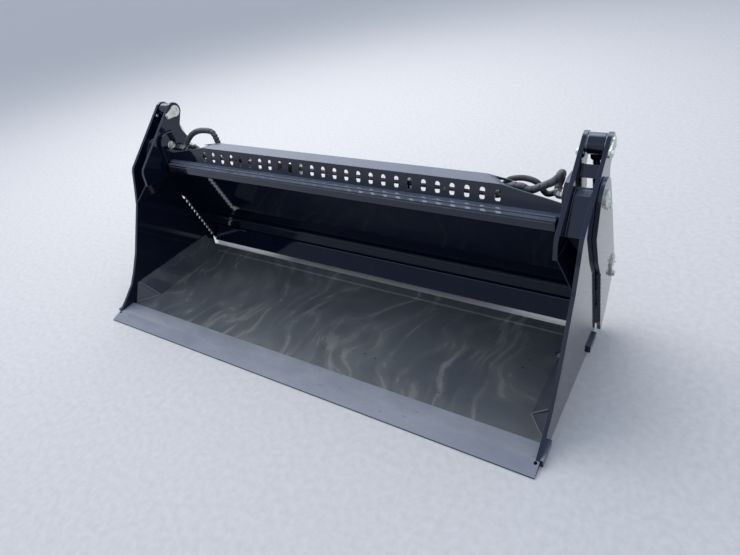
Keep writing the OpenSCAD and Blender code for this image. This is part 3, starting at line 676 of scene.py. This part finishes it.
# At each end: the bead's places, its thickness, its body and its finish.
end_beads = {
    "arm_bead_0": ([(853, y, z) for y, z in arm_front], 7.6, "clam", weld_paint),
    "arm_bead_1": ([(900, y, z) for y, z in arm_front], 7.6, "clam", weld_paint),
    "cap_bead": ([(838, -311, 13), (901, -390, 13)], 6.4, "clam", bare_weld),
    "fold_bead": ([(838, -311, 13), (895, -346, 92)], 5.6, "clam", bare_weld),
    "spacer_bead": ([(853, 14, 636), (853, 33, 669)], 6, "clam", weld_paint),
    "ear_bead": ([(821, -10, 524), (821, 80, 418)], 8, "moldboard_frame", weld_paint),
    "guard_end_bead": ([(821, -12, 532), (821, -4, 556)], 6, "moldboard_frame", weld_paint),
}
# Along the bucket: how far the bead reaches each way, how far back and how high it lies, and then
# its thickness, body and finish.
long_beads = {
    "guard_foot_bead": ((808, -36, 528), 7.2, "moldboard_frame", rubbed_weld),
    "lip_bead": ((808, -56, 519), 4.4, "moldboard_frame", rubbed_weld),
    "dozer_bead": ((888, 174, 133), 6, "moldboard_frame", weld_paint),
    "edge_bead": ((900, -409.5, 14), 5.6, "clam", bare_weld),
    "heel_bead": ((900, 66, 14), 7, "clam", floor_finish),
}
for side, end in ends:
    for name, (spots, thickness, body, finish) in end_beads.items():
        bead(f"{name}_{end}", [(side * x, y, z) for x, y, z in spots], thickness, body, finish)
for name, ((reach, back, up), thickness, body, finish) in long_beads.items():
    bead(name, [(-reach, back, up), (reach, back, up)], thickness, body, finish)
print("beads laid:", len(laid))

# %% [markdown]
# The face of a pin shows a turned recess with a grease nipple in it. It could be cut with booleans,
# but it is quicker turned from a profile, as on a lathe: the profile is spun round the pin's axis.
# A profile lists how far out and how high each point is, in millimetres. The frame says where a pin
# ends, and its joint says where its middle is.

# %% Turn a face
def turned_face(name, centre, facing, profile, body):
    mesh = bmesh.new()
    verts = [mesh.verts.new((facing * h / per_metre, r / per_metre, 0)) for r, h in profile]
    edges = [mesh.edges.new(pair) for pair in zip(verts, verts[1:])]
    bmesh.ops.spin(mesh, geom=verts + edges, axis=(1, 0, 0), cent=(0, 0, 0), steps=32,
        angle=2 * math.pi, use_merge=True)
    bmesh.ops.remove_doubles(mesh, verts=mesh.verts, dist=same_spot)
    bmesh.ops.recalc_face_normals(mesh, faces=mesh.faces)
    bmesh.ops.translate(mesh, verts=mesh.verts, vec=centre)
    return settle(name, mesh, zinc, body)


def pin_end(pin, facing, joint):
    """The middle of a pin's end, on the side that the face looks to."""
    low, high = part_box(pin)
    return (high[0] if facing > 0 else low[0], *pivots[joint][1:])


print("a face is spun from its profile")

# %% Put the faces on the pins
dish = [(0, 5.5), (1.5, 5.2), (2.2, 4.2), (2.2, 2.6), (3.6, 2.2), (3.6, 0.9), (8.5, 0.7),
    (9.5, 1.6), (13.5, 1.6), (14.5, 0.9), (14.5, -1), (0, -1)]
stub = [(0, 1.6), (1.8, 1.4), (2.6, 0.2), (8.8, 0.2), (9.8, 1.2), (11.4, 1.2), (12.2, 0.4),
    (12.2, -1), (0, -1)]
# Both top pins go in from the right, so both show their faces there.
pin_faces = [("top", "l", 1, "rod_swing_left"), ("top", "r", 1, "rod_swing_right"),
    ("hinge", "l", -1, "clam_hinge"), ("base", "l", -1, "barrel_swing_left"),
    ("hinge", "r", 1, "clam_hinge"), ("base", "r", 1, "barrel_swing_right")]
for kind, end, facing, joint in pin_faces:
    centre = pin_end(f"{kind}_pin_{end}", facing, joint)
    turned_face(f"pin_face_{kind}_{end}", centre, facing, dish,
        "clam" if kind == "top" else "moldboard_frame")
for side, end in ends:
    centre = pin_end("hinge_pin_" + end, -side, "clam_hinge")
    turned_face("stub_face_" + end, centre, -side, stub, "moldboard_frame")
print("pin faces:", len(pin_faces) + len(ends))

# %% [markdown]
# The ground is one large pale sheet with a faint grain. A bent backdrop would do too, but from this
# camera nothing behind the sheet is seen. It isn't part of the bucket.

# %% Ground
ground_reach = 30
ground_mesh = bmesh.new()
bmesh.ops.create_grid(ground_mesh, x_segments=1, y_segments=1, size=ground_reach)
ground_data = bpy.data.meshes.new("ground")
ground_mesh.to_mesh(ground_data)
ground_mesh.free()
ground = bpy.data.objects.new("ground", ground_data)
bpy.context.scene.collection.objects.link(ground)
ground_finish, tree, shader = finish_nodes("pale_ground")
grain = mask(tree, noise(tree, 45, 6), 0.3, 0.7)
put(tree, shader, Base_Color=mixed(tree, grain, (0.60, 0.585, 0.575), (0.68, 0.665, 0.655)),
    Roughness=0.9)
ground_data.materials.append(ground_finish)
print("ground:", ground_finish.name)
